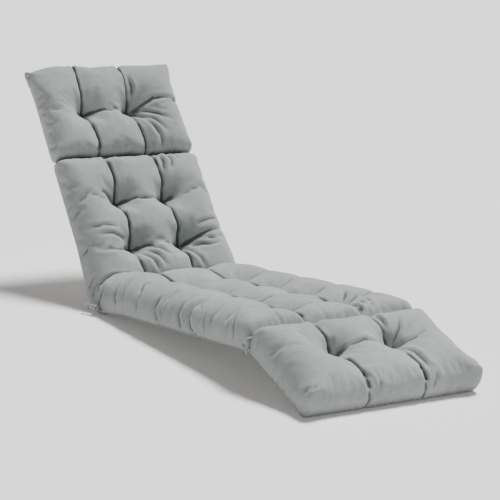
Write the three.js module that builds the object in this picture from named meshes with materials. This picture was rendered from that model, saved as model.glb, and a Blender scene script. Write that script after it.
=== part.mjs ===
// A long tufted sun lounger cushion with cloth ties, in the bent shape that it has on a lounger.
// Millimetres, +Z up. X runs across the cushion, the foot end points to -Y, the back leans to +Y,
// and the underside of the soft fold and of the foot end rest on the plane z = 0.

import * as THREE from 'three';
import { mergeVertices } from 'three/addons/utils/BufferGeometryUtils.js';

const degree = Math.PI / 180;

// Puff rows in the order in which they are sewn, from the foot end to the head end. A row ends at a
// line of tufts, at a hinge that is sewn right through, at the soft fold, or at the head end.
const puffRows = [
  { length: 164, cells: 8, endsAt: 'tufts' },
  { length: 119, cells: 7, endsAt: 'hinge' },
  { length: 116, cells: 7, endsAt: 'tufts' },
  { length: 155, cells: 7, endsAt: 'tufts' },
  { length: 155, cells: 7, endsAt: 'tufts' },
  { length: 155, cells: 7, endsAt: 'tufts' },
  { length: 220, cells: 11, endsAt: 'fold' },
  { length: 132, cells: 8, endsAt: 'tufts' },
  { length: 155, cells: 7, endsAt: 'tufts' },
  { length: 155, cells: 9, endsAt: 'hinge' },
  { length: 152, cells: 8, endsAt: 'tufts' },
  { length: 153, cells: 8, endsAt: 'end' },
];

// Sections between bends, with the angle at which each climbs towards the head end.
const sections = [
  { name: 'foot', length: 283, climb: 21.7 * degree },
  { name: 'seat', length: 801, climb: -6.1 * degree },
  { name: 'back', length: 442, climb: 49.9 * degree },
  { name: 'head', length: 305, climb: 52.1 * degree },
];
const foldRadius = 38;

// Width and fullness along the cushion. Crown, wallTop and wallBottom are measured up and down from
// the middle layer. The back and head are narrower and thinner, and the filling sags in the fold.
const girths = [
  { at: 0, width: 554, crown: 50, wallTop: 30, wallBottom: 38 },
  { at: 283, width: 556, crown: 50, wallTop: 31, wallBottom: 38 },
  { at: 940, width: 534, crown: 49, wallTop: 31, wallBottom: 39 },
  { at: 1050, width: 526, crown: 46, wallTop: 29, wallBottom: 54 },
  { at: 1130, width: 518, crown: 42, wallTop: 26, wallBottom: 38 },
  { at: 1250, width: 508, crown: 40, wallTop: 24, wallBottom: 29 },
  { at: 1526, width: 492, crown: 40, wallTop: 24, wallBottom: 27 },
  { at: 1831, width: 484, crown: 42, wallTop: 26, wallBottom: 26 },
];
const undersideCrown = 5;
const seamHalf = 3;

// How far each rounding reaches from its edge or seam.
const edgeRounding = 58;
const hingeRounding = 32;
const hingeBand = 6;

// Channels and tufts.
const channelDepth = 15;
const channelReach = 19;
const tuftDepth = 38;
const tuftReach = 22;
const foldDepth = 24;
const foldReach = 26;
const undersideDimple = 12;
const undersideDimpleReach = 33;

// The drawn-in outline and the bulge of the side walls.
const wallBulge = 11;
const scallop = 5;
const scallopReach = 38;
const hingeDraw = 9;
const cornerPoint = 7;
const cornerReach = 60;

// Mesh steps.
const outerColumnCells = 8;
const middleColumnCells = 7;
const wallRings = 3;
const tightness = 1.5;
const sameStation = 0.01;
const floorPress = 3;
const hingeClearance = 0.6;

// Ties, each of two cloth strands. The second strand is thrown once round the first, and both ends
// are free. Points are given as out from the cushion's side, along it towards the head end, and up.
const tieDiameter = 5;
const tieSides = 8;
const tieStep = 3.5;
const throwRadius = 6.6;
const throwSteps = 8;
const ties = [
  {
    name: 'knee_tie',
    at: 283,
    wallShare: 0.5,
    clearance: 0.5,
    startOffsets: [-3, 3],
    first: [[12, -3, -0.5], [22, -2, -4], [26, 0, -11], [26, 2, -21], [25, 6, -33], [25, 8, -44]],
    lead: [[12, 3, -0.5], [24, 5, -2], [31, 4, -6]],
    throwFrom: 0.44,
    throwTo: 0.62,
    throwAngle: 0,
    tail: [[26, -8, -31], [25, -11, -41]],
  },
  {
    name: 'fold_tie',
    at: 1038,
    wallShare: 0.84,
    clearance: 1.1,
    startOffsets: [-5, 6],
    first: [[8, -3, 0], [13, 3, 4], [15, 11, 9], [18, 22, 12], [24, 34, 11], [30, 44, 6]],
    lead: [[8, 6, -1], [14, 10, 0]],
    throwFrom: 0.3,
    throwTo: 0.47,
    throwAngle: 0,
    tail: [[20, 24, 0], [26, 28, -6]],
  },
];

const clothColor = 0x9aa19f;

const totalLength = puffRows.reduce((sum, row) => sum + row.length, 0);
const rowEnds = puffRows.map((row, index) => {
  const end = puffRows.slice(0, index + 1).reduce((sum, item) => sum + item.length, 0);
  return { at: end, kind: row.endsAt };
});
const tuftLines = rowEnds.filter((end) => end.kind === 'tufts').map((end) => end.at);
const hingeLines = rowEnds.filter((end) => end.kind === 'hinge').map((end) => end.at);
const foldLine = rowEnds.find((end) => end.kind === 'fold').at;

// Small measures used by the surface.

function girth(column, s) {
  const inside = THREE.MathUtils.clamp(s, 0, totalLength);
  const index = Math.max(1, girths.findIndex((row) => row.at >= inside));
  const before = girths[index - 1];
  const after = girths[index];
  const share = (inside - before.at) / (after.at - before.at);
  return THREE.MathUtils.lerp(before[column], after[column], share);
}

function halfWidth(s) {
  return girth('width', s) / 2;
}

function nearest(lines, s) {
  return Math.min(...lines.map((line) => Math.abs(s - line)));
}

function rounded(distance, reach) {
  const share = THREE.MathUtils.clamp(distance / reach, 0, 1);
  return Math.sqrt(1 - (1 - share) ** 2);
}

function trough(distance, reach) {
  return Math.exp(-((distance / reach) ** 2));
}

function hingeShare(s) {
  return rounded(nearest(hingeLines, s) - hingeBand, hingeRounding);
}

function outlineHalf(s) {
  const fromEnd = Math.min(Math.abs(s), Math.abs(totalLength - s));
  const drawn = scallop * trough(nearest([...tuftLines, foldLine], s), scallopReach);
  const hinge = hingeDraw * (1 - hingeShare(s));
  return halfWidth(s) - drawn - hinge + cornerPoint * (trough(fromEnd, cornerReach) - 1);
}

// Heights of the two faces above and below the middle layer at a point of the flat cushion.

function tuftDistance(x, s) {
  const across = Math.abs(Math.abs(x) - halfWidth(s) / 3);
  return Math.hypot(across, nearest(tuftLines, s));
}

function edgeDistance(x, s) {
  return Math.min(outlineHalf(s) - Math.abs(x), s, totalLength - s);
}

function topHeight(x, s) {
  const lengthwise = channelDepth * trough(Math.abs(x) - halfWidth(s) / 3, channelReach);
  const crosswise = channelDepth * trough(nearest(tuftLines, s), channelReach);
  const tuft = tuftDepth * trough(tuftDistance(x, s), tuftReach);
  const fold = foldDepth * trough(s - foldLine, foldReach);
  const sunk = Math.cbrt(lengthwise ** 3 + crosswise ** 3 + tuft ** 3 + fold ** 3);
  const edge = rounded(edgeDistance(x, s), edgeRounding);
  const puffed = THREE.MathUtils.lerp(girth('wallTop', s), girth('crown', s) - sunk, edge);
  return THREE.MathUtils.lerp(seamHalf, puffed, hingeShare(s));
}

function bottomHeight(x, s) {
  const dimple = undersideDimple * trough(tuftDistance(x, s), undersideDimpleReach);
  const edge = rounded(edgeDistance(x, s), edgeRounding);
  const filled = girth('wallBottom', s) + (undersideCrown - dimple) * edge;
  return -THREE.MathUtils.lerp(seamHalf, filled, hingeShare(s));
}

// The bent middle layer: straight sections, two sharp hinges and one round fold.

function direction(angle) {
  return new THREE.Vector2(Math.cos(angle), Math.sin(angle));
}

function sectionStarts() {
  const starts = [];
  const corner = new THREE.Vector2(0, 0);
  let s = 0;
  for (const section of sections) {
    starts.push({ ...section, from: s, to: s + section.length, corner: corner.clone() });
    corner.addScaledVector(direction(section.climb), section.length);
    s += section.length;
  }
  return starts;
}

const bent = sectionStarts();
const seat = bent[1];
const back = bent[2];
const foldTurn = back.climb - seat.climb;
const foldTangent = foldRadius * Math.tan(foldTurn / 2);

function middleLayer(s) {
  if (Math.abs(s - foldLine) < foldTangent) {
    const share = (s - foldLine + foldTangent) / (2 * foldTangent);
    const angle = seat.climb + foldTurn * share;
    const start = back.corner.clone().addScaledVector(direction(seat.climb), -foldTangent);
    const centre = start.addScaledVector(direction(seat.climb + Math.PI / 2), foldRadius);
    return { point: centre.addScaledVector(direction(angle - Math.PI / 2), foldRadius), angle };
  }
  const section = bent.find((part) => s <= part.to) ?? bent[bent.length - 1];
  const point = section.corner.clone().addScaledVector(direction(section.climb), s - section.from);
  return { point, angle: section.climb };
}

// Keeps the two sides of a sewn hinge apart where the bend presses them together.
function keepOwnSide(point, s) {
  for (const hinge of bent.slice(1).filter((part) => part.name !== 'back')) {
    const offset = s - hinge.from;
    if (Math.abs(offset) < sameStation || Math.abs(offset) > hingeRounding * 2) continue;
    const before = bent[bent.indexOf(hinge) - 1];
    const along = direction((before.climb + hinge.climb) / 2);
    const reach = point.clone().sub(hinge.corner).dot(along) * Math.sign(offset);
    const wanted = Math.min(hingeClearance, Math.abs(offset) / 2);
    if (reach < wanted) point.addScaledVector(along, (wanted - reach) * Math.sign(offset));
  }
  return point;
}

function placed(x, s, height) {
  const layer = middleLayer(s);
  const point = layer.point.clone().addScaledVector(direction(layer.angle + Math.PI / 2), height);
  keepOwnSide(point, s);
  return new THREE.Vector3(x, point.x, point.y);
}

// Stations along and across, closer together beside a seam, a fold or an edge.

function eased(share, tightStart, tightEnd) {
  if (tightStart && tightEnd) return (share + 0.5 - Math.cos(share * Math.PI) / 2) / 2;
  if (tightStart) return share ** tightness;
  if (tightEnd) return 1 - (1 - share) ** tightness;
  return share;
}

function lengthStations() {
  const stations = [0];
  puffRows.forEach((row, index) => {
    const start = index ? rowEnds[index - 1].at : 0;
    const tightStart = index === 0 || rowEnds[index - 1].kind !== 'tufts';
    const tightEnd = row.endsAt !== 'tufts';
    for (let step = 1; step <= row.cells; step += 1) {
      stations.push(start + row.length * eased(step / row.cells, tightStart, tightEnd));
    }
  });
  for (const hinge of hingeLines) {
    const index = stations.findIndex((station) => Math.abs(station - hinge) < sameStation);
    stations[index - 1] = hinge - hingeBand;
    stations[index + 1] = hinge + hingeBand;
  }
  return stations;
}

function widthShares() {
  const outer = [];
  for (let step = 0; step < outerColumnCells; step += 1) {
    outer.push(1 / 3 + (2 / 3) * (1 - (step / outerColumnCells) ** tightness));
  }
  const middle = [];
  for (let step = 0; step <= middleColumnCells; step += 1) {
    middle.push((2 * step / middleColumnCells - 1) / 3);
  }
  return [...outer.map((share) => -share), ...middle, ...outer.reverse()];
}

// The filled body as one closed mesh: top face, underside and the walls between them.

function cushionGeometry() {
  const along = lengthStations();
  const across = widthShares();
  const points = [];
  const triangles = [];

  function faceGrid(heightAt) {
    return along.map((s) => across.map((share) => {
      const x = share * outlineHalf(s);
      points.push(placed(x, s, heightAt(x, s)));
      return points.length - 1;
    }));
  }
  const top = faceGrid(topHeight);
  const bottom = faceGrid(bottomHeight);

  const lastRow = along.length - 1;
  const lastColumn = across.length - 1;
  function cellCorners(face, row, column) {
    return [face[row][column], face[row][column + 1], face[row + 1][column + 1], face[row + 1][column]];
  }
  for (let row = 0; row < lastRow; row += 1) {
    for (let column = 0; column < lastColumn; column += 1) {
      const [a, b, c, d] = cellCorners(top, row, column);
      triangles.push([a, b, c], [a, c, d]);
      const [e, f, g, h] = cellCorners(bottom, row, column);
      triangles.push([e, g, f], [e, h, g]);
    }
  }

  const rim = [];
  for (let column = 0; column < lastColumn; column += 1) rim.push([0, column]);
  for (let row = 0; row < lastRow; row += 1) rim.push([row, lastColumn]);
  for (let column = lastColumn; column > 0; column -= 1) rim.push([lastRow, column]);
  for (let row = lastRow; row > 0; row -= 1) rim.push([row, 0]);

  const rings = [rim.map(([row, column]) => top[row][column])];
  for (let ring = 1; ring <= wallRings; ring += 1) {
    const share = ring / (wallRings + 1);
    rings.push(rim.map(([row, column]) => {
      const s = along[row];
      const x = across[column] * outlineHalf(s);
      const bulge = wallBulge * Math.sin(share * Math.PI) * hingeShare(s);
      const sideways = column === 0 ? -1 : Number(column === lastColumn);
      const endways = row === 0 ? -1 : Number(row === lastRow);
      const evened = sideways && endways ? Math.SQRT1_2 : 1;
      const height = THREE.MathUtils.lerp(topHeight(x, s), bottomHeight(x, s), share);
      points.push(placed(x + sideways * bulge * evened, s + endways * bulge * evened, height));
      return points.length - 1;
    }));
  }
  rings.push(rim.map(([row, column]) => bottom[row][column]));
  for (let ring = 0; ring + 1 < rings.length; ring += 1) {
    rim.forEach((_, index) => {
      const next = (index + 1) % rim.length;
      const upper = [rings[ring][index], rings[ring][next]];
      const lower = [rings[ring + 1][index], rings[ring + 1][next]];
      triangles.push([upper[0], lower[0], lower[1]], [upper[0], lower[1], upper[1]]);
    });
  }

  const lowest = Math.min(...points.map((point) => point.z));
  for (const point of points) point.z = Math.max(0, point.z - lowest - floorPress);
  const coordinates = points.flatMap((point) => point.toArray());
  const geometry = new THREE.BufferGeometry();
  geometry.setAttribute('position', new THREE.Float32BufferAttribute(coordinates, 3));
  geometry.setIndex(triangles.flat());
  geometry.computeVertexNormals();
  return { geometry, lift: -lowest - floorPress };
}

function clothMaterial(name) {
  const material = new THREE.MeshStandardMaterial({ color: clothColor, roughness: 0.9, metalness: 0 });
  material.name = name;
  return material;
}

// A tie strand: a round tube along its route, with its first end facing the cushion.
function strandGeometry(route) {
  const section = new THREE.Shape();
  for (let side = 0; side < tieSides; side += 1) {
    const angle = (side + 0.5) * 2 * Math.PI / tieSides;
    const x = Math.cos(angle) * tieDiameter / 2;
    const y = Math.sin(angle) * tieDiameter / 2;
    if (side === 0) section.moveTo(x, y);
    else section.lineTo(x, y);
  }
  const steps = Math.ceil(route.getLength() / tieStep);
  const tube = new THREE.ExtrudeGeometry(section, { steps, bevelEnabled: false, extrudePath: route });
  tube.deleteAttribute('normal');
  tube.deleteAttribute('uv');
  const closed = mergeVertices(tube, 1e-4);
  closed.computeVertexNormals();
  return closed;
}

function smoothRoute(points) {
  return new THREE.CatmullRomCurve3(points, false, 'centripetal');
}

// Points of one turn round a route, from one share of its length to another.
function thrownRound(route, tie, side) {
  const points = [];
  for (let step = 0; step <= throwSteps; step += 1) {
    const share = THREE.MathUtils.lerp(tie.throwFrom, tie.throwTo, step / throwSteps);
    const tangent = route.getTangentAt(share);
    const outward = new THREE.Vector3(side, 0, 0);
    outward.addScaledVector(tangent, -outward.dot(tangent)).normalize();
    const sideways = new THREE.Vector3().crossVectors(tangent, outward).multiplyScalar(-side);
    const angle = tie.throwAngle + step / throwSteps * 2 * Math.PI;
    const point = route.getPointAt(share).addScaledVector(outward, throwRadius * Math.cos(angle));
    points.push(point.addScaledVector(sideways, throwRadius * Math.sin(angle)));
  }
  return points;
}

function tieRoutes(tie, side, lift) {
  const anchors = tie.startOffsets.map((offset) => {
    const s = tie.at + offset;
    const half = outlineHalf(s);
    const bulge = wallBulge * Math.sin(tie.wallShare * Math.PI) * hingeShare(s);
    const height = THREE.MathUtils.lerp(topHeight(half, s), bottomHeight(half, s), tie.wallShare);
    return placed(side * (half + bulge + tie.clearance), s, height).add(new THREE.Vector3(0, 0, lift));
  });
  const middle = anchors[0].clone().lerp(anchors[1], 0.5);
  const located = ([out, along, up]) => middle.clone().add(new THREE.Vector3(side * out, along, up));
  const first = smoothRoute([anchors[0], ...tie.first.map(located)]);
  const turn = thrownRound(first, tie, side);
  const second = smoothRoute([anchors[1], ...tie.lead.map(located), ...turn, ...tie.tail.map(located)]);
  return { first, second };
}

const group = new THREE.Group();

function addPiece(name, geometry) {
  const mesh = new THREE.Mesh(geometry, clothMaterial(`${name} cloth`));
  mesh.name = name;
  group.add(mesh);
}

const body = cushionGeometry();
addPiece('cushion', body.geometry);
for (const tie of ties) {
  for (const [place, side] of [['left', -1], ['right', 1]]) {
    const routes = tieRoutes(tie, side, body.lift);
    addPiece(`${tie.name}_${place}_first`, strandGeometry(routes.first));
    addPiece(`${tie.name}_${place}_second`, strandGeometry(routes.second));
  }
}

body.geometry.computeBoundingBox();
const box = body.geometry.boundingBox;
for (const child of group.children) child.position.y = -(box.min.y + box.max.y) / 2;

export default group;
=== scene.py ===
"""A long tufted sun lounger cushion: foot, seat with back, and head, sewn together at two hinges."""

import math

import bmesh
import bpy
import numpy as np
from mathutils import Matrix, Vector


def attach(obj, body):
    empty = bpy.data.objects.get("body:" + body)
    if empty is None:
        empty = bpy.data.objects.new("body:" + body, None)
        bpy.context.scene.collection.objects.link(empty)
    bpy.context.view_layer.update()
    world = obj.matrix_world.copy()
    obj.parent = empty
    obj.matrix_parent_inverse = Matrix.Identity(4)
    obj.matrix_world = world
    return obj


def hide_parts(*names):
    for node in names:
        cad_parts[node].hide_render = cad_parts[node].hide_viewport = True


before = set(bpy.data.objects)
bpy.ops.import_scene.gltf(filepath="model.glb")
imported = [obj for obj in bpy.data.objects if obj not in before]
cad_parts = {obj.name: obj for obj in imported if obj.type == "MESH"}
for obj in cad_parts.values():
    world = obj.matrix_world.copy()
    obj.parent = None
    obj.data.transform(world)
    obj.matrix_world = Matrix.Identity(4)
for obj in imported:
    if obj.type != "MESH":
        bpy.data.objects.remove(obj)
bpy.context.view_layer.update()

MM = 0.001


# Driving sizes, in millimetres measured on the flat cushion from the foot end

KNEE_LINE = 283
FOLD_LINE = 1084
NECK_LINE = 1526
TOTAL_LENGTH = 1831
HINGE_LINES = [KNEE_LINE, NECK_LINE]
TUFT_LINES = [164, 399, 554, 709, 864, 1216, 1371, 1678]

CLIMB_FOOT = math.radians(21.7)
CLIMB_SEAT = math.radians(-6.1)
CLIMB_BACK = math.radians(49.9)
CLIMB_HEAD = math.radians(52.1)
FOLD_RADIUS = 38

# Where the middle layers of seat and back would meet, along Y and up
FOLD_CORNER = np.array([289.4, 51.8])

# Columns: place, width, crown, top of the wall, bottom of the wall
GIRTHS = np.array([
    [0, 554, 50, 30, 38],
    [KNEE_LINE, 556, 50, 31, 38],
    [940, 534, 49, 31, 39],
    [1050, 526, 46, 29, 54],
    [1130, 518, 42, 26, 38],
    [1250, 508, 40, 24, 29],
    [NECK_LINE, 492, 40, 24, 27],
    [TOTAL_LENGTH, 484, 42, 26, 26],
])
WIDTH, CROWN, WALL_TOP, WALL_BOTTOM = 1, 2, 3, 4
START_FULLNESS = 0.88

# Edges, walls and corners
EDGE_ROUNDING = 58
FOOT_EDGE_ROUNDING = 26
CRISP_UNTIL = 200
ROUND_FROM = 420
WALL_BULGE = 7
CORNER_POINT = 7
CORNER_REACH = 60
HEAD_CORNER_SAG = 34
HEAD_CORNER_REACH = 52
FOOT_CORNER_LIFT = 11
FOOT_CORNER_REACH = 46

# Hinges, with the level of each seam over the middle layer
SEAM_HALF = 2.4
SEAM_GAP = 0.15
NECK_SEAM_LEVEL = -17
KNEE_SEAM_LEVEL = 2
HINGE_ROUNDING = 30
UNDERSIDE_HINGE_ROUNDING = 13
HINGE_DRAW = 8
HINGE_CLEARANCE = 0.5

# Channels, valleys, tufts and the soft fold
HEAD_SHIFT_AT_HINGE = 10
HEAD_SHIFT_AT_END = 30
CHANNEL_DEPTH = 15
CHANNEL_REACH = 17
VALLEY_DEPTH = 10
SEAT_VALLEY_DEPTH = 15
VALLEY_REACH = 26
VALLEY_AT_SIDES = 0.3
SEAT_VALLEY_AT_SIDES = 0.55
VALLEY_RUN_OUT = 1.6
TUFT_FILLING = 6
TUFT_DEEPEST = 56
TUFT_REACH = 33
FOLD_DEPTH = 22
FOLD_REACH = 26
FOLD_KNOT_DEPTH = 34

# Underside
UNDERSIDE_CROWN = 5
UNDERSIDE_DIMPLE = 8
UNDERSIDE_REACH = 33

# The pieces between the hinges, and the size of their cells of cloth
BEFORE_NECK = NECK_LINE - SEAM_GAP
SECTIONS = [
    {"name": "foot_section", "start": 0, "end": KNEE_LINE - SEAM_GAP, "cell": 6.2},
    {"name": "seat_and_back_section", "start": KNEE_LINE + SEAM_GAP, "end": BEFORE_NECK, "cell": 8.2},
    {"name": "head_section", "start": NECK_LINE + SEAM_GAP, "end": TOTAL_LENGTH, "cell": 6.2},
]


# Small tools for objects and meshes

def add_object(name, data):
    thing = bpy.data.objects.new(name, data)
    bpy.context.scene.collection.objects.link(thing)
    return thing


def smooth(mesh):
    for polygon in mesh.polygons:
        polygon.use_smooth = True


def read_vectors(mesh, kind):
    """The place of each vertex where kind is co, and its normal where kind is normal."""
    values = np.empty(len(mesh.vertices) * 3)
    mesh.vertices.foreach_get(kind, values)
    return values.reshape(-1, 3)


def write_points(mesh, points):
    mesh.vertices.foreach_set("co", points.astype(np.float32).ravel())
    mesh.update()


def store(mesh, name, values):
    attribute = mesh.attributes.new(name, "FLOAT", "POINT")
    attribute.data.foreach_set("value", np.asarray(values, dtype=np.float32))


def recall(mesh, name):
    values = np.empty(len(mesh.vertices), dtype=np.float32)
    mesh.attributes[name].data.foreach_get("value", values)
    return values.astype(float)


# The bent shape

def girth(column, s):
    return np.interp(s, GIRTHS[:, 0], GIRTHS[:, column])


def wall_depth(s):
    return girth(WALL_TOP, s) + girth(WALL_BOTTOM, s)


def channel_place(s):
    """Distance of the two lengthwise channels from the middle: they part the width into thirds."""
    return girth(WIDTH, s) / 6


def nearest(lines, s):
    return np.min([np.abs(s - line) for line in lines], axis=0)


def rounded(distance, reach):
    share = np.clip(distance / reach, 0, 1)
    return np.sqrt(1 - (1 - share) ** 2)


def trough(distance, reach):
    return np.exp(-((distance / reach) ** 2))


def hinge_share(s, rounding=HINGE_ROUNDING):
    """From 0 at a hinge to 1 where the cushion is as full as elsewhere."""
    return rounded(nearest(HINGE_LINES, s) - SEAM_GAP, rounding)


def outline_half(s):
    """Half the width, drawn in at the hinges and pointed at the four corners."""
    from_end = np.minimum(np.abs(s), np.abs(TOTAL_LENGTH - s))
    hinge = HINGE_DRAW * (1 - hinge_share(s))
    return girth(WIDTH, s) / 2 - hinge + CORNER_POINT * (trough(from_end, CORNER_REACH) - 1)


def from_middle(x, s):
    """Distance across from the line midway between the channels, which lean to the left in the head."""
    shift = np.interp(s, [NECK_LINE, TOTAL_LENGTH], [HEAD_SHIFT_AT_HINGE, HEAD_SHIFT_AT_END])
    return x + (s > NECK_LINE) * shift * np.clip(1 - (x / outline_half(s)) ** 2, 0, 1)


def channel_distance(x, s):
    return np.abs(from_middle(x, s)) - channel_place(s)


def tuft_distance(x, s):
    return np.hypot(channel_distance(x, s), nearest(TUFT_LINES, s))


def fold_knot_distance(x, s):
    """Distance from the two places where the lengthwise channels run into the soft fold."""
    return np.hypot(channel_distance(x, s), s - FOLD_LINE)


def laid_out_half(s):
    """Half the width of the cover laid out flat, with the wall turned out down to its lower seam."""
    return outline_half(s) + wall_depth(s)


def edge_distance(x, s):
    return np.minimum(outline_half(s) - np.abs(x), np.minimum(s, TOTAL_LENGTH - s))


def in_seat(s):
    return (s > KNEE_LINE) & (s < FOLD_LINE)


def valley_share(x, s):
    """Valleys from side to side are full between the two tufts and run out towards the sides."""
    beyond = np.clip(channel_distance(x, s) / (VALLEY_RUN_OUT * channel_place(s)), 0, 1)
    at_sides = np.where(in_seat(s), SEAT_VALLEY_AT_SIDES, VALLEY_AT_SIDES)
    return 1 - (1 - at_sides) * beyond ** 2 * (3 - 2 * beyond)


def edge_rounding(s):
    """The foot keeps the crisp edges that it was cut with, and the rest has worn rounder."""
    return np.interp(s, [CRISP_UNTIL, ROUND_FROM], [FOOT_EDGE_ROUNDING, EDGE_ROUNDING])


def tuft_depth(s):
    """Each tuft draws the top down until only a little filling is left over the underside."""
    filled = girth(CROWN, s) * START_FULLNESS + girth(WALL_BOTTOM, s) + UNDERSIDE_CROWN - UNDERSIDE_DIMPLE
    return np.minimum(filled - TUFT_FILLING, TUFT_DEEPEST)


def seam_level(s):
    """The head is sewn on low down, and the foot near the middle of its thickness."""
    return np.where(s > FOLD_LINE, NECK_SEAM_LEVEL, KNEE_SEAM_LEVEL)


def corner_rise(x, s):
    """The full corners of the foot stand up, and the left corner of the head has slumped."""
    from_side = (girth(WIDTH, s) / 2 - np.abs(x)) / FOOT_CORNER_REACH
    from_foot = s / FOOT_CORNER_REACH
    from_left = (x + girth(WIDTH, s) / 2) / HEAD_CORNER_REACH
    from_head = (TOTAL_LENGTH - s) / HEAD_CORNER_REACH
    lift = FOOT_CORNER_LIFT * np.exp(-from_side ** 2 - from_foot ** 2)
    sag = HEAD_CORNER_SAG * np.exp(-from_left ** 2 - from_head ** 2)
    return lift - sag


def top_height(x, s):
    """Height of the top over the middle layer, where the deepest of the dips that meet prevails."""
    valley_depth = np.where(in_seat(s), SEAT_VALLEY_DEPTH, VALLEY_DEPTH) * valley_share(x, s)
    dips = [
        CHANNEL_DEPTH * trough(channel_distance(x, s), CHANNEL_REACH),
        valley_depth * trough(nearest(TUFT_LINES, s), VALLEY_REACH),
        tuft_depth(s) * trough(tuft_distance(x, s), TUFT_REACH),
        FOLD_DEPTH * trough(s - FOLD_LINE, FOLD_REACH),
        FOLD_KNOT_DEPTH * trough(fold_knot_distance(x, s), TUFT_REACH),
    ]
    sunk = np.cbrt(sum(dip ** 3 for dip in dips))
    edge = rounded(edge_distance(x, s), edge_rounding(s))
    wall = girth(WALL_TOP, s)
    puffed = wall + (girth(CROWN, s) * START_FULLNESS - sunk - wall) * edge + corner_rise(x, s)
    seam = seam_level(s) + SEAM_HALF
    return seam + (puffed - seam) * hinge_share(s)


def bottom_height(x, s):
    dimple = UNDERSIDE_DIMPLE * trough(tuft_distance(x, s), UNDERSIDE_REACH)
    edge = rounded(edge_distance(x, s), edge_rounding(s))
    filled = girth(WALL_BOTTOM, s) + (UNDERSIDE_CROWN - dimple) * edge
    seam = seam_level(s) - SEAM_HALF
    return seam + (-filled - seam) * hinge_share(s, UNDERSIDE_HINGE_ROUNDING)


def direction(angle):
    return np.stack([np.cos(angle), np.sin(angle)], axis=-1)


KNEE_CORNER = FOLD_CORNER - (FOLD_LINE - KNEE_LINE) * direction(CLIMB_SEAT)
NECK_CORNER = FOLD_CORNER + (NECK_LINE - FOLD_LINE) * direction(CLIMB_BACK)
FOLD_TURN = CLIMB_BACK - CLIMB_SEAT
FOLD_TANGENT = FOLD_RADIUS * math.tan(FOLD_TURN / 2)

# Columns: line of the hinge, its corner in the middle layer, climb before it and after it
HINGES = [
    (KNEE_LINE, KNEE_CORNER, CLIMB_FOOT, CLIMB_SEAT),
    (NECK_LINE, NECK_CORNER, CLIMB_BACK, CLIMB_HEAD),
]


def middle_layer(s):
    """The point of the middle layer at each s, and the angle at which it climbs there."""
    before = [s < KNEE_LINE, s < FOLD_LINE, s < NECK_LINE]
    angle = np.select(before, [CLIMB_FOOT, CLIMB_SEAT, CLIMB_BACK], CLIMB_HEAD)
    offset = np.select(before, [s - KNEE_LINE, s - FOLD_LINE, s - FOLD_LINE], s - NECK_LINE)
    corner = np.where((s < KNEE_LINE)[..., None], KNEE_CORNER, FOLD_CORNER)
    corner = np.where((s >= NECK_LINE)[..., None], NECK_CORNER, corner)
    point = corner + offset[..., None] * direction(angle)
    in_fold = np.abs(s - FOLD_LINE) < FOLD_TANGENT
    share = np.clip((s - FOLD_LINE + FOLD_TANGENT) / (2 * FOLD_TANGENT), 0, 1)
    fold_angle = CLIMB_SEAT + FOLD_TURN * share
    start = FOLD_CORNER - FOLD_TANGENT * direction(CLIMB_SEAT)
    centre = start + FOLD_RADIUS * direction(CLIMB_SEAT + math.pi / 2)
    fold_point = centre + FOLD_RADIUS * direction(fold_angle - math.pi / 2)
    return np.where(in_fold[..., None], fold_point, point), np.where(in_fold, fold_angle, angle)


def keep_own_side(point, s):
    """Keeps the puffs on both sides of a hinge apart where the bend presses them together."""
    for line, corner, before, after in HINGES:
        near = np.abs(s - line) < 2 * HINGE_ROUNDING
        along = direction((before + after) / 2)
        side = np.sign(s - line)
        reach = (point - corner) @ along * side
        short = np.where(near, np.maximum(HINGE_CLEARANCE - reach, 0), 0)
        point = point + (short * side)[..., None] * along
    return point


def placed(x, s, height):
    """Points in metres for places across and along the flat cushion and heights over its middle."""
    layer, angle = middle_layer(s)
    point = keep_own_side(layer + height[..., None] * direction(angle + math.pi / 2), s)
    return np.stack([x, point[..., 0], point[..., 1]], axis=-1) * MM


# Camera, at the place that the photograph was taken from

CAMERA_FROM_FOLD = (-2875, -4468, 841)
CAMERA_YAW = -35.35
CAMERA_PITCH = 7.84
CAMERA_ROLL = -0.32
CAMERA_LENS = 130.5


def add_camera():
    """The camera is set out from the fold and the seat's plane, then tilted with the seat."""
    yaw, pitch, roll = (math.radians(v) for v in (CAMERA_YAW, CAMERA_PITCH, CAMERA_ROLL))
    tilt = Matrix.Rotation(CLIMB_SEAT, 4, "X")
    corner = Matrix.Translation(Vector((0, *FOLD_CORNER)) * MM)
    place = Matrix.Translation(Vector(CAMERA_FROM_FOLD) * MM)
    aim = Matrix.Rotation(yaw, 4, "Z") @ Matrix.Rotation(math.pi / 2 - pitch, 4, "X")
    aim = aim @ Matrix.Rotation(-roll, 4, "Z")
    data = bpy.data.cameras.new("photo_camera")
    data.lens = CAMERA_LENS
    data.sensor_width = 36
    camera = add_object("photo_camera", data)
    camera.matrix_world = corner @ tilt @ place @ aim
    bpy.context.scene.camera = camera


add_camera()


# Cloth ties on the left side, as points in millimetres from the cushion to the free end

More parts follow.
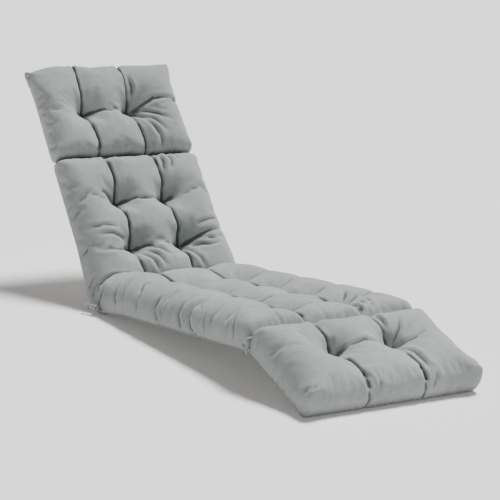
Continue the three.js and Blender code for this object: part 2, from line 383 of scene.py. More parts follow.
KNEE_FIRST = [
    (-262.5, -509.8, 135.8), (-266.8, -509.9, 136.0), (-271.2, -510.0, 136.0), (-275.5, -509.9, 135.5),
    (-279.7, -509.6, 134.5), (-283.7, -509.1, 132.8), (-286.6, -508.2, 129.8), (-288.3, -507.1, 125.9),
    (-288.8, -506.2, 121.7), (-288.6, -505.4, 117.4), (-288.3, -504.3, 113.2), (-288.0, -502.9, 109.1),
    (-287.6, -501.4, 105.0), (-287.4, -500.4, 100.8), (-287.4, -499.6, 96.5), (-287.5, -498.9, 92.2),
]
KNEE_SECOND = [
    (-262.4, -504.0, 136.6), (-266.4, -504.1, 136.3), (-270.4, -504.0, 136.1), (-274.4, -503.8, 135.7),
    (-278.4, -503.3, 135.4), (-282.3, -502.6, 134.9), (-286.2, -502.1, 134.0), (-289.8, -502.3, 132.4),
    (-292.8, -504.1, 130.6), (-293.6, -507.7, 129.2), (-292.6, -510.9, 127.1), (-290.0, -512.5, 124.6),
    (-286.5, -511.9, 122.9), (-283.8, -509.2, 122.1), (-283.1, -505.3, 121.8), (-284.9, -501.8, 121.2),
    (-288.3, -500.1, 120.2), (-291.8, -500.8, 118.7), (-294.1, -503.4, 116.7), (-294.1, -506.6, 114.4),
    (-292.7, -509.3, 111.9), (-290.9, -511.8, 109.3), (-289.3, -514.0, 106.3), (-288.2, -515.7, 102.9),
    (-287.7, -516.9, 99.1), (-287.5, -517.9, 95.2),
]
FOLD_FIRST = [
    (-262.2, 234.6, 18.7), (-266.3, 235.7, 17.8), (-270.1, 237.4, 17.7), (-272.8, 240.2, 19.5),
    (-274.7, 243.3, 21.7), (-275.7, 246.7, 24.1), (-276.4, 250.4, 26.2), (-277.4, 254.3, 27.8),
    (-278.4, 258.3, 28.9), (-279.7, 262.4, 29.6), (-281.5, 266.3, 29.7), (-283.5, 270.1, 29.3),
    (-285.5, 273.8, 28.6), (-287.5, 277.4, 27.2), (-289.5, 280.7, 25.4), (-291.6, 284.0, 23.5),
]
FOLD_SECOND = [
    (-261.0, 245.4, 16.3), (-263.8, 245.5, 16.3), (-266.7, 245.5, 16.4), (-269.5, 246.0, 16.5),
    (-271.9, 247.5, 16.7), (-274.0, 249.0, 17.0), (-276.5, 249.2, 17.9), (-278.6, 247.9, 18.9),
    (-280.3, 246.1, 20.1), (-281.4, 244.5, 21.8), (-281.3, 243.4, 24.2), (-280.4, 242.8, 26.7),
    (-278.4, 242.9, 28.7), (-275.9, 243.6, 29.9), (-273.4, 244.9, 30.1), (-271.3, 246.7, 29.4),
    (-270.1, 248.8, 27.9), (-269.8, 250.9, 26.0), (-270.7, 252.6, 24.0), (-272.5, 253.9, 22.2),
    (-275.1, 254.4, 21.1), (-277.9, 254.4, 20.9), (-280.3, 254.1, 21.9), (-282.0, 253.8, 23.6),
    (-282.9, 254.2, 25.2), (-283.2, 255.2, 25.7), (-282.9, 256.9, 24.7), (-282.3, 258.8, 23.0),
    (-281.7, 260.8, 21.0), (-281.4, 262.7, 18.9), (-281.9, 264.6, 16.9), (-283.5, 265.9, 15.0),
    (-285.6, 266.9, 13.3), (-287.6, 268.0, 11.5),
]
TIES = [
    {"name": "knee_tie", "strand": "first", "route": KNEE_FIRST, "start_tilt": 90},
    {"name": "knee_tie", "strand": "second", "route": KNEE_SECOND, "start_tilt": 90},
    {"name": "fold_tie", "strand": "first", "route": FOLD_FIRST, "start_tilt": 60},
    {"name": "fold_tie", "strand": "second", "route": FOLD_SECOND, "start_tilt": 60},
]
SIDES = (("left", 1), ("right", -1))
TIE_WIDTH = 7.4
TIE_THICKNESS = 2.4
TIE_HEM = 5.0
HEM_GROWTH = 0.22
DEGREES_PER_POINT = 4
WELD_DISTANCE = 0.05


def eased(points):
    """A route with its kinks rounded off and its two ends kept."""
    middle = points[:-2] / 4 + points[1:-1] / 2 + points[2:] / 4
    return np.concatenate([points[:1], middle, points[-1:]])


def strip_curve(name, route, start_tilt, side):
    """A flat strip with round edges along a route, which turns slowly over as it goes."""
    data = bpy.data.curves.new(f"{name}_strip", "CURVE")
    data.dimensions = "3D"
    data.twist_mode = "MINIMUM"
    data.bevel_depth = TIE_THICKNESS / 2 * MM
    data.bevel_resolution = 3
    data.extrude = (TIE_WIDTH - TIE_THICKNESS) / 2 * MM
    data.use_fill_caps = True
    data.resolution_u = 3
    spline = data.splines.new("NURBS")
    spline.points.add(len(route) - 1)
    spline.points.foreach_set("co", np.column_stack([route, np.ones(len(route))]).ravel())
    spline.use_endpoint_u = True
    spline.order_u = 4
    for index, point in enumerate(spline.points):
        point.tilt = math.radians(start_tilt + DEGREES_PER_POINT * index) * side
    return data


def finish_strand_end(mesh, route):
    """Closes the tube's caps and thickens the free end into a hem."""
    bm = bmesh.new()
    bm.from_mesh(mesh)
    bmesh.ops.remove_doubles(bm, verts=bm.verts, dist=WELD_DISTANCE * MM)
    end = Vector(route[-1])
    aim = (end - Vector(route[-3])).normalized()
    near_end = [vert for vert in bm.verts if (vert.co - end).length < TIE_HEM * MM]
    for vert in near_end:
        outward = vert.co - end
        outward -= outward.dot(aim) * aim
        vert.co += outward * HEM_GROWTH
    bmesh.ops.recalc_face_normals(bm, faces=bm.faces)
    bm.to_mesh(mesh)
    bm.free()


def tie_strand(tie, side, place):
    """A folded and sewn strip of cloth, swept along its route."""
    route = eased(np.array(tie["route"]) * (side, 1, 1) * MM)
    name = f"{tie['name']}_{place}_{tie['strand']}"
    sweep = add_object(f"{name}_sweep", strip_curve(name, route, tie["start_tilt"], side))
    mesh = bpy.data.meshes.new_from_object(sweep.evaluated_get(bpy.context.evaluated_depsgraph_get()))
    bpy.data.objects.remove(sweep)
    strand = add_object(f"{name}_strand", mesh)
    smooth(mesh)
    finish_strand_end(mesh, route)
    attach(strand, "root")
    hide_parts(name)
    return strand


tie_strands = [tie_strand(tie, side, place) for tie in TIES for place, side in SIDES]


# Filled sections

MEAN_WIDTH = 520
MEAN_WALL = 64
PLACE_NAMES = ("share", "along", "level")

# Shares of the closed box past which a vertex lies on its face, and how near to an end in millimetres
NEARLY_ALL = 0.999
NEARLY_NONE = 0.001
AT_END = 0.01

# The cover is sewn larger than its place and blown up, held at its pins
TUFT_PIN = 7
HINGE_PIN = 3
SLACK_ACROSS = 0.10
SLACK_ALONG = 0.03
TOP_GROWTH = 0.04
WALL_GROWTH = 0.04
MOST_MOVE = 30 * MM
CLOTH_FRAMES = 20
CLOTH_SETTINGS = {
    "quality": 6,
    "mass": 0.15,
    "tension_stiffness": 18,
    "compression_stiffness": 18,
    "shear_stiffness": 6,
    "bending_stiffness": 0.35,
    "tension_damping": 8,
    "compression_damping": 8,
    "shear_damping": 8,
    "air_damping": 2,
    "use_pressure": True,
    "uniform_pressure_force": 30.0,
}

# How near to the edge of the top, as a share and in millimetres, the cover turns over into its walls
SIDE_BAND = (0.985, 0.999)
END_BAND = (0.1, 0.6)

# Rounds of evening out, and the depth in millimetres between neighbours that counts as a full hollow
HOLLOW_ROUNDS = 3
FULL_HOLLOW = 0.35


def section_grid(section):
    """A closed thin box of square cells in a 0 to 1 space: across, along and up."""
    cells_across = round(MEAN_WIDTH / section["cell"])
    cells_along = round((section["end"] - section["start"]) / section["cell"])
    cells_up = round(MEAN_WALL / section["cell"])
    bm = bmesh.new()
    bmesh.ops.create_grid(bm, x_segments=cells_across, y_segments=cells_along, size=0.5)
    bmesh.ops.translate(bm, verts=bm.verts, vec=(0.5, 0.5, 0))
    raised = bmesh.ops.extrude_face_region(bm, geom=bm.faces[:], use_keep_orig=True)["geom"]
    top = [item for item in raised if isinstance(item, bmesh.types.BMVert)]
    bmesh.ops.translate(bm, verts=top, vec=(0, 0, 1))
    upright = [edge for edge in bm.edges if abs(edge.verts[0].co.z - edge.verts[1].co.z) > 0.5]
    bmesh.ops.subdivide_edges(bm, edges=upright, cuts=cells_up - 1, use_grid_fill=True)
    bmesh.ops.recalc_face_normals(bm, faces=bm.faces)
    return bm


def flat_places(section, unit):
    """Share of the half width, place along and level from underside to top, for each vertex."""
    share = unit[:, 0] * 2 - 1
    s = section["start"] + unit[:, 1] * (section["end"] - section["start"])
    return share, s, unit[:, 2]


def starting_points(section, unit):
    """The bent cushion before it is blown up."""
    share, s, level = flat_places(section, unit)
    x = share * outline_half(s)
    sideways = np.sign(share) * (np.abs(share) > NEARLY_ALL)
    endways = np.where(s < AT_END, -1, 0) + np.where(s > TOTAL_LENGTH - AT_END, 1, 0)
    evened = np.where((sideways != 0) & (endways != 0), math.sqrt(0.5), 1)
    bulge = WALL_BULGE * np.sin(level * math.pi) * hinge_share(s) * evened
    height = bottom_height(x, s) * (1 - level) + top_height(x, s) * level
    return placed(x + sideways * bulge, s + endways * bulge, height)


def flat_cut_points(section, unit):
    """The cushion as it was cut: flat, straight and as deep as its walls."""
    share, s, level = flat_places(section, unit)
    middle = (section["start"] + section["end"]) / 2
    across = share * outline_half(s) * (1 + SLACK_ACROSS * level)
    along = middle + (s - middle) * (1 + SLACK_ALONG * level)
    return np.stack([across, along, level * wall_depth(s)], axis=-1) * MM


def pin_weights(section, unit):
    """1 where the cloth is held, at the tufts, hinges, underside and foot's edge, and 0 elsewhere."""
    share, s, level = flat_places(section, unit)
    x = share * outline_half(s)
    tuft = np.minimum(tuft_distance(x, s), fold_knot_distance(x, s)) < TUFT_PIN
    hinge = nearest(HINGE_LINES, s) < SEAM_GAP + HINGE_PIN
    underside = level < NEARLY_NONE
    crisp_edge = (level > NEARLY_ALL) & (s < AT_END)
    return (tuft | hinge | underside | crisp_edge).astype(float)


def add_group(piece, name, weights):
    group = piece.vertex_groups.new(name=name)
    for value in np.unique(weights):
        members = np.nonzero(weights == value)[0].tolist()
        group.add(members, float(value), "REPLACE")
    return name


def inflate(piece, section, unit):
    """Fills the cover: the cloth is larger than its place, held at tufts, hinges and underside."""
    pins = pin_weights(section, unit)
    level = unit[:, 2]
    looseness = np.where(level > NEARLY_ALL, 1.0, np.round(level * WALL_GROWTH / TOP_GROWTH, 2))
    looseness = np.where(pins > 0, 0.0, looseness)
    piece.shape_key_add(name="Basis")
    cut = piece.shape_key_add(name="flat cut")
    cut.data.foreach_set("co", flat_cut_points(section, unit).astype(np.float32).ravel())
    modifier = piece.modifiers.new("filling", "CLOTH")
    cloth = modifier.settings
    for name, value in CLOTH_SETTINGS.items():
        setattr(cloth, name, value)
    cloth.effector_weights.gravity = 0
    cloth.rest_shape_key = cut
    cloth.vertex_group_mass = add_group(piece, "held", pins)
    cloth.vertex_group_shrink = add_group(piece, "taut", 1 - looseness)
    cloth.shrink_min = -TOP_GROWTH
    cloth.shrink_max = 0
    scene = bpy.context.scene
    modifier.point_cache.frame_start = 1
    modifier.point_cache.frame_end = CLOTH_FRAMES
    for number in range(1, CLOTH_FRAMES + 1):
        scene.frame_set(number)
    evaluated = piece.evaluated_get(bpy.context.evaluated_depsgraph_get())
    grown = read_vectors(evaluated.data, "co")
    piece.modifiers.remove(modifier)
    piece.shape_key_clear()
    scene.frame_set(1)
    return grown


def capped(start, grown):
    """The grown points, none of them further from its start than a filled cover would move it."""
    move = grown - start
    length = np.linalg.norm(move, axis=1, keepdims=True)
    return start + move * np.minimum(1, MOST_MOVE / np.maximum(length, 1e-9))


def above_floor(points):
    """Cloth that rests on the floor is pressed flat there."""
    points[:, 2] = np.maximum(points[:, 2], 0)
    return points


def unfolded_places(mesh):
    """Places on the cover laid out flat in millimetres: the walls are turned out beyond the top."""
    share, s, level = (recall(mesh, name) for name in PLACE_NAMES)
    down = (1 - level) * wall_depth(s) * (level > NEARLY_NONE)
    sideways = np.interp(np.abs(share), SIDE_BAND, (0, 1))
    at_foot = np.interp(s, END_BAND, (1, 0))
    at_head = np.interp(TOTAL_LENGTH - s, END_BAND, (1, 0))
    u = share * outline_half(s) + np.sign(share) * sideways * down
    v = s + (at_head - at_foot) * down
    return u, v, level


def lay_out_cloth(mesh):
    """Keeps each place on the laid out cover, so that weave and seams follow the cloth."""
    u, v, level = unfolded_places(mesh)
    places = np.stack([u * MM, v * MM, level], axis=-1)
    attribute = mesh.attributes.new("cloth", "FLOAT_VECTOR", "POINT")
    attribute.data.foreach_set("vector", places.astype(np.float32).ravel())


def neighbour_sums(values, edges):
    """For each vertex, the sum of what its neighbours have."""
    total = np.zeros_like(values)
    for one, other in (edges.T, edges.T[::-1]):
        np.add.at(total, one, values[other])
    return total


def hollow_shade(mesh):
    """How far each place lies in a hollow, from its neighbours, for the painted shade in creases and the
    painted highlight on crests.
    """
    edges = np.empty(len(mesh.edges) * 2, dtype=np.int32)
    mesh.edges.foreach_get("vertices", edges)
    edges = edges.reshape(-1, 2)
    points = read_vectors(mesh, "co")
    normals = read_vectors(mesh, "normal")
    count = neighbour_sums(np.ones(len(points)), edges)
    middle = neighbour_sums(points, edges) / count[:, None]
    hollow = ((middle - points) * normals).sum(axis=1) / MM
    for _ in range(HOLLOW_ROUNDS):
        hollow = 0.5 * hollow + 0.5 * neighbour_sums(hollow, edges) / count
    store(mesh, "hollow", np.clip(hollow / FULL_HOLLOW, -1, 1))


# Folds in the cloth

# Columns: depth, reach, and a path of places across and along on the laid out cover
TUFT_FOLDS = [
    (5.5, 6.5, [(92, 1668), (118, 1625), (132, 1572), (134, 1540)]),
    (4.4, 6.0, [(98, 1664), (130, 1635), (158, 1588)]),
    (3.6, 6.0, [(104, 1674), (150, 1650), (186, 1622)]),
    (5.0, 7.0, [(100, 1684), (150, 1702), (205, 1700), (238, 1690)]),
    (4.4, 6.0, [(86, 1700), (98, 1745), (96, 1790)]),
    (3.9, 6.0, [(-88, 1560), (-92, 1540), (-90, 1529)]),
    (5.0, 6.0, [(62, 1522), (78, 1490), (84, 1445)]),
    (4.7, 6.0, [(100, 1522), (104, 1480), (92, 1430)]),
    (4.4, 6.0, [(128, 1522), (132, 1480), (124, 1452)]),
    (3.9, 6.0, [(156, 1522), (160, 1498), (158, 1482)]),
    (4.1, 6.0, [(-94, 1522), (-90, 1480), (-84, 1425)]),
    (3.6, 6.0, [(-100, 1380), (-128, 1392), (-150, 1395)]),
    (4.7, 7.0, [(-102, 1214), (-150, 1202), (-205, 1200), (-240, 1212)]),
    (3.6, 6.0, [(-120, 1240), (-165, 1250), (-215, 1250)]),
    (3.3, 6.0, [(-150, 1272), (-190, 1278), (-225, 1274)]),
    (4.7, 7.0, [(102, 1216), (150, 1228), (200, 1238), (240, 1240)]),
    (3.6, 6.0, [(150, 1262), (195, 1272), (232, 1274)]),
    (4.1, 6.0, [(120, 1200), (165, 1190), (205, 1192)]),
    (4.7, 6.0, [(-72, 1202), (-48, 1160), (-36, 1112)]),
    (4.1, 6.0, [(-62, 1206), (-28, 1172), (-6, 1130)]),
    (3.6, 6.0, [(-50, 1212), (-12, 1192), (22, 1160)]),
    (4.4, 6.0, [(96, 1200), (120, 1150), (128, 1112)]),
    (4.1, 6.5, [(-96, 1068), (-140, 1040), (-190, 1026), (-236, 1030)]),
    (5.0, 6.5, [(-100, 1078), (-150, 1062), (-205, 1060), (-262, 1066), (-300, 1060)]),
    (3.9, 6.0, [(-96, 1096), (-150, 1112), (-210, 1118), (-258, 1108), (-296, 1088)]),
    (3.6, 6.0, [(-238, 1098), (-268, 1090), (-310, 1074)]),
    (4.1, 6.0, [(100, 1066), (150, 1046), (210, 1040)]),
    (4.7, 6.0, [(102, 300), (104, 330), (96, 376)]),
    (4.1, 6.0, [(122, 298), (128, 335), (108, 380)]),
    (3.6, 6.0, [(140, 302), (150, 340), (122, 392)]),
    (2.4, 6.5, [(112, 404), (150, 430), (170, 462)]),
    (2.0, 6.5, [(112, 396), (160, 408), (196, 420)]),
    (4.4, 6.0, [(-106, 272), (-104, 240), (-96, 200)]),
    (4.1, 6.0, [(106, 272), (108, 232), (98, 190)]),
    (4.7, 6.5, [(96, 152), (112, 100), (112, 50), (108, 8), (106, -26)]),
    (3.9, 6.0, [(122, 30), (122, 0), (118, -30)]),
    (3.6, 6.0, [(84, 36), (86, 4), (88, -24)]),
    (5.0, 6.5, [(-84, 52), (-78, 12), (-76, -32)]),
    (4.1, 6.0, [(-66, 40), (-62, 4), (-62, -30)]),
    (3.9, 6.0, [(-102, 34), (-100, 2), (-96, -26)]),
    (3.6, 6.5, [(108, 172), (136, 196), (156, 226)]),
    (3.3, 6.5, [(110, 156), (152, 150), (190, 158)]),
    (1.8, 6.0, [(-276, 2), (-262, 18), (-240, 30)]),
    (1.6, 6.0, [(276, 2), (262, 16), (244, 26)]),
]
NEAR_WALL_FOLDS = [
    (3.6, 6.5, [(-262, 742), (-286, 748), (-316, 732), (-336, 704)]),
    (2.6, 6.0, [(-282, 716), (-306, 712), (-330, 690)]),
    (3.6, 6.5, [(-264, 622), (-290, 628), (-318, 614), (-338, 590)]),
    (4.4, 7.0, [(-240, 566), (-262, 572), (-290, 576), (-318, 562), (-340, 524)]),
    (2.8, 6.0, [(-276, 500), (-300, 498), (-326, 488)]),
    (3.8, 6.5, [(-250, 372), (-276, 362), (-300, 352), (-322, 352)]),
    (3.0, 6.0, [(-262, 850), (-290, 846), (-320, 828)]),
    (3.4, 6.5, [(-254, 968), (-284, 968), (-312, 950)]),
    (3.4, 6.5, [(-262, 1034), (-296, 1046), (-330, 1050)]),
    (2.8, 6.0, [(-262, 1132), (-290, 1112), (-316, 1090)]),
    (2.4, 6.0, [(-256, 1216), (-276, 1210), (-296, 1196)]),
    (2.4, 6.0, [(-252, 1371), (-270, 1362), (-290, 1366)]),
    (2.4, 6.5, [(-276, 164), (-300, 158), (-326, 166)]),
    (2.6, 6.0, [(-270, 250), (-296, 242), (-320, 236)]),
    (2.4, 6.0, [(-246, 1560), (-262, 1566), (-280, 1562)]),
    (2.4, 6.5, [(-244, 1678), (-262, 1684), (-280, 1676)]),
]
MIRROR_SHIFT = 17
FAR_WALL_FOLDS = [
    (depth, reach, [(-u, v + MIRROR_SHIFT) for u, v in path]) for depth, reach, path in NEAR_WALL_FOLDS
]

# Drawn creases: the range of their depth, their reach, and the sizes and sway of their paths
CREASE_SEED = 17
CHANNEL_STOPS = sorted([0, *TUFT_LINES, *HINGE_LINES, FOLD_LINE, TOTAL_LENGTH])
CHANNEL_CREASE = {"depth": (5.2, 7.0), "reach": 4.8, "sway": 5, "short_of_stop": 3}
VALLEY_CREASE = {"depth": (1.8, 2.8), "reach": 6.0, "sway": 5}
END_CREASE = {"depth": (5.0, 6.0), "reach": 6.0, "sway": 4, "over_top": 24}
GATHER_SEED = 23
GATHERS_AT_TUFT = 7
GATHER = {"depth": (0.7, 1.5), "reach": 7.5, "length": (26, 58), "from_tuft": 2, "turn": 0.3}

# Drawn puckers: where their row runs, how each sways, its length and lean, and its start off the seam
PUCKER_SEED = 41
PUCKER_STEP = 27
HINGE_PUCKER = {"span": (-235, 236), "sway": 12, "length": (14, 40), "lean": 9, "from_seam": 2,
                "reach": (4.5, 6.5)}
SIDE_PUCKER = {"span": (20, TOTAL_LENGTH - 10), "sway": 9, "length": (10, 26), "lean": 6, "from_seam": 0,
               "reach": (4.5, 6), "depth": (0.4, 1.4)}
END_PUCKER = {"span": (-240, 241), "sway": 9, "length": (12, 30), "lean": 6, "from_seam": 0,
              "reach": (4.5, 6), "depth": (0.3, 1.3)}

# Columns: hinge, side of it, and how deep the puckers are there
HINGE_PUCKER_ROWS = [
    (KNEE_LINE, -1, (0.3, 0.9)),
    (KNEE_LINE, 1, (0.3, 1.8)),
    (NECK_LINE, -1, (0.3, 1.3)),
    (NECK_LINE, 1, (0.3, 0.9)),
]


def either_way(draw, most):
    return draw.uniform(-most, most)


def crease(draw, kind, path):
    return draw.uniform(*kind["depth"]), kind["reach"], path


def channel_creases():
    """Sharp creases down the channels and their ends, and soft ones from tuft to tuft across."""
    draw = np.random.default_rng(CREASE_SEED)
    found = []
    short = CHANNEL_CREASE["short_of_stop"]
    for start, end in zip(CHANNEL_STOPS[:-1], CHANNEL_STOPS[1:]):
        middle = (start + end) / 2
        for side in (-1, 1):
            sway = either_way(draw, CHANNEL_CREASE["sway"])
            path = [
                (side * channel_place(start), start + short),
                (side * channel_place(middle) + sway, middle),
                (side * channel_place(end), end - short),
            ]
            found.append(crease(draw, CHANNEL_CREASE, path))
    for line in TUFT_LINES:
        column = channel_place(line)
        path = [(-column, line), (0, line + either_way(draw, VALLEY_CREASE["sway"])), (column, line)]
        found.append(crease(draw, VALLEY_CREASE, path))
    for end, turn in ((0, -1), (TOTAL_LENGTH, 1)):
        for side in (-1, 1):
            column = side * channel_place(end)
            lower = end + turn * wall_depth(end)
            middle = (column + either_way(draw, END_CREASE["sway"]), (end + lower) / 2)
            path = [(column, end - turn * END_CREASE["over_top"]), middle, (column, lower)]
            found.append(crease(draw, END_CREASE, path))
    return found


def pucker_row(draw, kind, seam_at, inward):
    """Short gathers side by side, each from the seam inward and leaning over to one side."""
    across, along = inward
    found = []
    for place in np.arange(*kind["span"], PUCKER_STEP):
        place = place + either_way(draw, kind["sway"])
        length = draw.uniform(*kind["length"])
        lean = either_way(draw, kind["lean"])
        u, v = seam_at(place)
        path = []
        for far, aside in ((kind["from_seam"], 0), (length / 2, lean / 2), (length, lean)):
            path.append((u + across * far + abs(along) * aside, v + along * far + abs(across) * aside))
        found.append((draw.uniform(*kind["depth"]), draw.uniform(*kind["reach"]), path))
    return found


def puckers():
    """Gathers along the hinges, the sides' lower seams and the two ends, one seeded draw for all."""
    draw = np.random.default_rng(PUCKER_SEED)
    found = []
    for line, turn, depth in HINGE_PUCKER_ROWS:
        found += pucker_row(draw, {**HINGE_PUCKER, "depth": depth}, lambda u: (u, line), (0, turn))
    for side in (-1, 1):
        found += pucker_row(draw, SIDE_PUCKER, lambda v: (side * laid_out_half(v), v), (-side, 0))
    for end, turn in ((0, 1), (TOTAL_LENGTH, -1)):
        lower = end - turn * wall_depth(end)
        found += pucker_row(draw, END_PUCKER, lambda u: (u, lower), (0, turn))
    return found


def underside_gathers():
    """Short creases round each tuft on the underside, where the stitch draws the cloth in."""
    draw = np.random.default_rng(GATHER_SEED)
    found = []
    for line in TUFT_LINES:
        for side in (-1, 1):
            centre = np.array([side * channel_place(line), line])
            for turn in range(GATHERS_AT_TUFT):
                angle = (turn + either_way(draw, GATHER["turn"])) * 2 * math.pi / GATHERS_AT_TUFT
                length = draw.uniform(*GATHER["length"])
                path = [centre + GATHER["from_tuft"] * direction(angle), centre + length * direction(angle)]
                found.append(crease(draw, GATHER, path))
    return found


# How a fold fades in at its start and out at its end, and the low ridge beside it
FADED_AT_START = 0.12
FADE_POWER = 0.6
RIDGE_HEIGHT = 0.35
RIDGE_AT = 2


def fold_profile(u, v, path, reach):
    """How deep a fold is at each place, from 0 to 1, with a low ridge beside it."""
    path = np.array(path, dtype=float)
    lengths = np.linalg.norm(np.diff(path, axis=0), axis=1)
    passed = np.concatenate([[0], np.cumsum(lengths)])
    best = np.full(len(u), np.inf)
    place = np.zeros(len(u))
    for index, (start, length) in enumerate(zip(path[:-1], lengths)):
        along = (path[index + 1] - start) / length
        t = np.clip((u - start[0]) * along[0] + (v - start[1]) * along[1], 0, length)
        distance = np.hypot(u - start[0] - along[0] * t, v - start[1] - along[1] * t)
        closer = distance < best
        best = np.where(closer, distance, best)
        place = np.where(closer, (passed[index] + t) / passed[-1], place)
    course = np.clip(FADED_AT_START + (1 - FADED_AT_START) * place, 0, 1)
    fade = np.sin(course * math.pi) ** FADE_POWER
    return (trough(best, reach) - RIDGE_HEIGHT * trough(best - RIDGE_AT * reach, reach)) * fade


def press_folds(mesh, folds, underside):
    """Presses the folds into the cloth along its normals, on the underside or on all the rest."""
    u, v, level = unfolded_places(mesh)
    u = from_middle(u, v)
    points = read_vectors(mesh, "co")
    normals = read_vectors(mesh, "normal")
    sunk = np.zeros(len(points))
    covered = (level < NEARLY_NONE) == underside
    for depth, reach, path in folds:
        low = np.min(path, axis=0) - 4 * reach
        high = np.max(path, axis=0) + 4 * reach
        near = np.nonzero(covered & (u > low[0]) & (u < high[0]) & (v > low[1]) & (v < high[1]))[0]
        if len(near):
            sunk[near] += depth * fold_profile(u[near], v[near], path, reach)
    write_points(mesh, points - normals * sunk[:, None] * MM)


UPPER_FOLDS = TUFT_FOLDS + NEAR_WALL_FOLDS + FAR_WALL_FOLDS + channel_creases() + puckers()
UNDERSIDE_FOLDS = underside_gathers()


def filled_section(section):
    """A closed cover in the bent shape, filled by simulation and then creased."""
    bm = section_grid(section)
    mesh = bpy.data.meshes.new(section["name"])
    bm.to_mesh(mesh)
    bm.free()
    piece = add_object(section["name"], mesh)
    unit = read_vectors(mesh, "co")
    for name, values in zip(PLACE_NAMES, flat_places(section, unit)):
        store(mesh, name, values)
    start = starting_points(section, unit)
    write_points(mesh, start)
    write_points(mesh, above_floor(capped(start, inflate(piece, section, unit))))
    smooth(mesh)
    finer = piece.modifiers.new("finer cloth", "SUBSURF")
    finer.levels = 1
    finer.render_levels = 1
    bpy.context.view_layer.objects.active = piece
    bpy.ops.object.modifier_apply(modifier=finer.name)
    press_folds(mesh, UPPER_FOLDS, underside=False)
    press_folds(mesh, UNDERSIDE_FOLDS, underside=True)
    write_points(mesh, above_floor(read_vectors(mesh, "co")))
    lay_out_cloth(mesh)
    hollow_shade(mesh)
    return piece


# Materials

def linear(code):
    """Linear red, green and blue from a six-digit display colour."""
    parts = [int(code[i:i + 2], 16) / 255 for i in (0, 2, 4)]
    return [v / 12.92 if v <= 0.04045 else ((v + 0.055) / 1.055) ** 2.4 for v in parts]


def new_material(name):
    material = bpy.data.materials.new(name)
    material.use_nodes = True
    return material, material.node_tree, material.node_tree.nodes["Principled BSDF"]


def link_or_set(tree, value, socket):
    if isinstance(value, bpy.types.NodeSocket):
        tree.links.new(value, socket)
    else:
        socket.default_value = value


def add_node(tree, kind, values, output=0, **settings):
    """Adds a node with its settings, sets or links its inputs, and returns one output."""
    node = tree.nodes.new(f"ShaderNode{kind}")
    for name, value in settings.items():
        setattr(node, name, value)
    for name, value in values.items():
        link_or_set(tree, value, node.inputs[name])
    return node.outputs[output]


# Woven polyester cloth, dyed grey. It is matt with a faint soft sheen, and its spun threads make it
# slightly mottled. The real threads are about 0.5 mm apart, drawn at 1.3 mm so that they show.

CLOTH_LIGHT = (*linear("A4AAA8"), 1)
CLOTH_MID = (*linear("989F9C"), 1)
CLOTH_DEEP = (*linear("727977"), 1)
# The painted shade of the cloth in creases, in the seam's groove and in the strips' folds
CLOTH_PAINTED_SHADE = (*linear("525957"), 1)
WEAVE_PITCH = 1.3 * MM
WEAVE_RELIEF = 0.3 * MM
DYE_PATCH = 200 * MM
MOTTLE_SIZE = 22 * MM
SLUB_SIZE = 1.6 * MM
MOTTLE_RELIEF = 1.2 * MM
SEAM_RELIEF = 1.6 * MM

# The lower seam, by its share of the wall's height: where it runs and how far its groove reaches
SEAM_AT_LEVEL = 0.035
SEAM_INNER = 0.012
SEAM_OUTER = 0.028


def painted(tree, colour, layers):
    """A colour under layers of other paint: each layer starts where its pattern has the value low,
    and is as strong as it gets, strongest, where the pattern has the value high."""
    for pattern, low, high, strongest, paint in layers:
        values = {"Value": pattern, "From Min": low, "From Max": high, "To Max": strongest}
        share = add_node(tree, "MapRange", values, interpolation_type="SMOOTHSTEP")
        colour = add_node(tree, "Mix", {0: share, 6: colour, 7: paint}, output=2, data_type="RGBA")
    return colour


def thread_row(tree, place, pitch):
    """Rounded threads side by side: 1 on top of a thread and 0 between two."""
    turn = add_node(tree, "Math", {0: place, 1: 2 * math.pi / pitch}, operation="MULTIPLY")
    wave = add_node(tree, "Math", {0: turn}, operation="COSINE")
    return add_node(tree, "Math", {0: wave, 1: 0.5, 2: 0.5}, operation="MULTIPLY_ADD")


def plain_weave(tree, across, along, pitch):
    """Height of a plain weave, where each thread goes over one crossing thread and under the next."""
    warp, weft = (thread_row(tree, place, pitch) for place in (across, along))
    warp_turn, weft_turn = (thread_row(tree, place, 2 * pitch) for place in (across, along))
    difference = add_node(tree, "Math", {0: warp_turn, 1: weft_turn}, operation="SUBTRACT")
    warp_share = add_node(tree, "Math", {0: difference}, operation="ABSOLUTE")
    weft_share = add_node(tree, "Math", {0: 1.0, 1: warp_share}, operation="SUBTRACT")
    weft_height = add_node(tree, "Math", {0: weft, 1: weft_share}, operation="MULTIPLY")
    return add_node(tree, "Math", {0: warp, 1: warp_share, 2: weft_height}, operation="MULTIPLY_ADD")


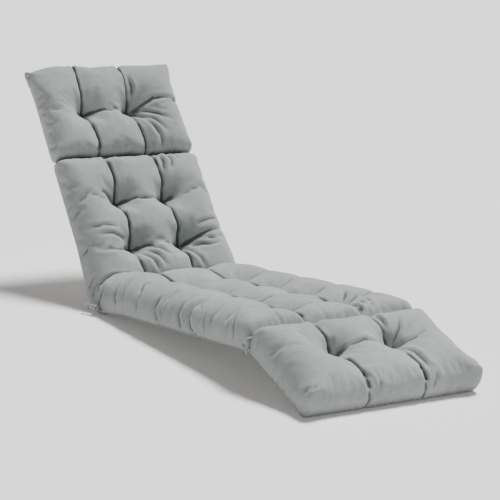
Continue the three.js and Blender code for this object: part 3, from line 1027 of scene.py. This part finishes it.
def cushion_cloth():
    """The cover's cloth, with painted shade in its hollows and along the lower seam's groove, and a painted
    highlight on its crests.
    """
    material, tree, shader = new_material("grey woven polyester cover")
    place = add_node(tree, "TexCoord", {}, output="Object")
    laid_out = add_node(tree, "Attribute", {}, output="Vector", attribute_name="cloth")
    across, along, level = (add_node(tree, "SeparateXYZ", {0: laid_out}, output=axis) for axis in "XYZ")
    hollow = add_node(tree, "Attribute", {}, output="Fac", attribute_name="hollow")
    dye = add_node(tree, "TexNoise", {"Vector": place, "Scale": 1 / DYE_PATCH, "Detail": 3.0})
    mottle = add_node(tree, "TexNoise", {"Vector": place, "Scale": 1 / MOTTLE_SIZE, "Detail": 4.0})
    slub = add_node(tree, "TexNoise", {"Vector": place, "Scale": 1 / SLUB_SIZE, "Roughness": 0.7})

    from_seam = add_node(tree, "Math", {0: level, 1: SEAM_AT_LEVEL}, operation="SUBTRACT")
    from_seam = add_node(tree, "Math", {0: from_seam}, operation="ABSOLUTE")
    colour = painted(tree, CLOTH_MID, [
        (dye, 0.35, 0.68, 1.0, CLOTH_LIGHT),
        (mottle, 0.42, 0.72, 0.16, CLOTH_DEEP),
        (slub, 0.50, 0.75, 0.34, CLOTH_DEEP),
        # Painted shade in the hollows and a painted highlight on the crests
        (hollow, 0.12, 0.9, 0.85, CLOTH_PAINTED_SHADE),
        (hollow, -0.2, -1.0, 0.3, CLOTH_LIGHT),
        # Painted shade in the groove of the lower seam
        (from_seam, SEAM_OUTER, SEAM_INNER, 0.8, CLOTH_PAINTED_SHADE),
    ])
    seam_range = {"Value": from_seam, "From Min": SEAM_INNER, "From Max": SEAM_OUTER}
    off_seam = add_node(tree, "MapRange", seam_range, interpolation_type="SMOOTHSTEP")
    rough_range = {"Value": mottle, "From Min": 0.3, "From Max": 0.8, "To Min": 0.82, "To Max": 0.95}
    roughness = add_node(tree, "MapRange", rough_range)

    weave = plain_weave(tree, across, along, WEAVE_PITCH)
    relief = add_node(tree, "Bump", {"Height": weave, "Distance": WEAVE_RELIEF, "Strength": 0.5})
    unevenness = {"Height": mottle, "Distance": MOTTLE_RELIEF, "Strength": 0.25, "Normal": relief}
    relief = add_node(tree, "Bump", unevenness)
    groove = {"Height": off_seam, "Distance": SEAM_RELIEF, "Strength": 0.7, "Normal": relief}
    relief = add_node(tree, "Bump", groove)

    link_or_set(tree, colour, shader.inputs["Base Color"])
    link_or_set(tree, relief, shader.inputs["Normal"])
    link_or_set(tree, roughness, shader.inputs["Roughness"])
    shader.inputs["Specular IOR Level"].default_value = 0.25
    shader.inputs["Sheen Weight"].default_value = 0.22
    shader.inputs["Sheen Roughness"].default_value = 0.45
    return material


# The same cloth, folded and sewn into strips. They are painted paler than the cover as a painted highlight,
# with dark patches a few millimetres long as painted shade in their folds.

STRIP_SHADE_PATCH = 3.5 * MM
STRIP_SLUB = 0.7 * MM
STRIP_RELIEF = 0.6 * MM


def tie_cloth():
    material, tree, shader = new_material("grey woven polyester strip")
    place = add_node(tree, "TexCoord", {}, output="Object")
    mottle = add_node(tree, "TexNoise", {"Vector": place, "Scale": 1 / STRIP_SHADE_PATCH, "Detail": 3.0})
    slub = add_node(tree, "TexNoise", {"Vector": place, "Scale": 1 / STRIP_SLUB, "Roughness": 0.7})
    # A pale base as a painted highlight, with patches of painted shade
    colour = painted(tree, CLOTH_LIGHT, [
        (mottle, 0.47, 0.62, 0.75, CLOTH_PAINTED_SHADE),
        (slub, 0.5, 0.8, 0.3, CLOTH_DEEP),
    ])
    relief = add_node(tree, "Bump", {"Height": slub, "Distance": WEAVE_RELIEF, "Strength": 0.5})
    folds = {"Height": mottle, "Distance": STRIP_RELIEF, "Strength": 0.5, "Normal": relief}
    relief = add_node(tree, "Bump", folds)
    link_or_set(tree, colour, shader.inputs["Base Color"])
    link_or_set(tree, relief, shader.inputs["Normal"])
    shader.inputs["Roughness"].default_value = 0.9
    shader.inputs["Specular IOR Level"].default_value = 0.25
    shader.inputs["Sheen Weight"].default_value = 0.2
    return material


CUSHION_CLOTH = cushion_cloth()
TIE_CLOTH = tie_cloth()

for strand in tie_strands:
    strand.data.materials.append(TIE_CLOTH)

for section in SECTIONS:
    filled = filled_section(section)
    filled.data.materials.append(CUSHION_CLOTH)
    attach(filled, "root")
    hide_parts("cushion")


# Floor and light

# A pale matt floor with a faint light of its own, so that it stays light beside the soft shadow
FLOOR_COLOUR = (*linear("F3F0EF"), 1)
FLOOR_GLOW = 0.12
FLOOR_HALF_METRES = 40

# One broad sun, high on the cushion's far side, and an even pale world that fills in the shadows
WORLD_COLOUR = (*linear("F4F2F1"), 1)
WORLD_STRENGTH = 0.24
SUN_FROM = (0.8, 0.24, 1.9)
SUN_SPREAD = 17
SUN_POWER = 5.9


def add_floor():
    bm = bmesh.new()
    bmesh.ops.create_grid(bm, x_segments=1, y_segments=1, size=FLOOR_HALF_METRES)
    mesh = bpy.data.meshes.new("pale floor")
    bm.to_mesh(mesh)
    bm.free()
    floor = add_object("pale_floor", mesh)
    material, _, shader = new_material("pale studio floor")
    shader.inputs["Base Color"].default_value = FLOOR_COLOUR
    shader.inputs["Roughness"].default_value = 0.9
    shader.inputs["Emission Color"].default_value = FLOOR_COLOUR
    shader.inputs["Emission Strength"].default_value = FLOOR_GLOW
    mesh.materials.append(material)


def add_sun():
    data = bpy.data.lights.new("key", "SUN")
    data.angle = math.radians(SUN_SPREAD)
    data.energy = SUN_POWER
    light = add_object("key", data)
    light.rotation_euler = (-Vector(SUN_FROM)).to_track_quat("-Z", "Y").to_euler()


def add_world():
    world = bpy.data.worlds.new("soft studio")
    world.use_nodes = True
    background = world.node_tree.nodes["Background"]
    background.inputs["Color"].default_value = WORLD_COLOUR
    background.inputs["Strength"].default_value = WORLD_STRENGTH
    bpy.context.scene.world = world


add_floor()
add_world()
add_sun()
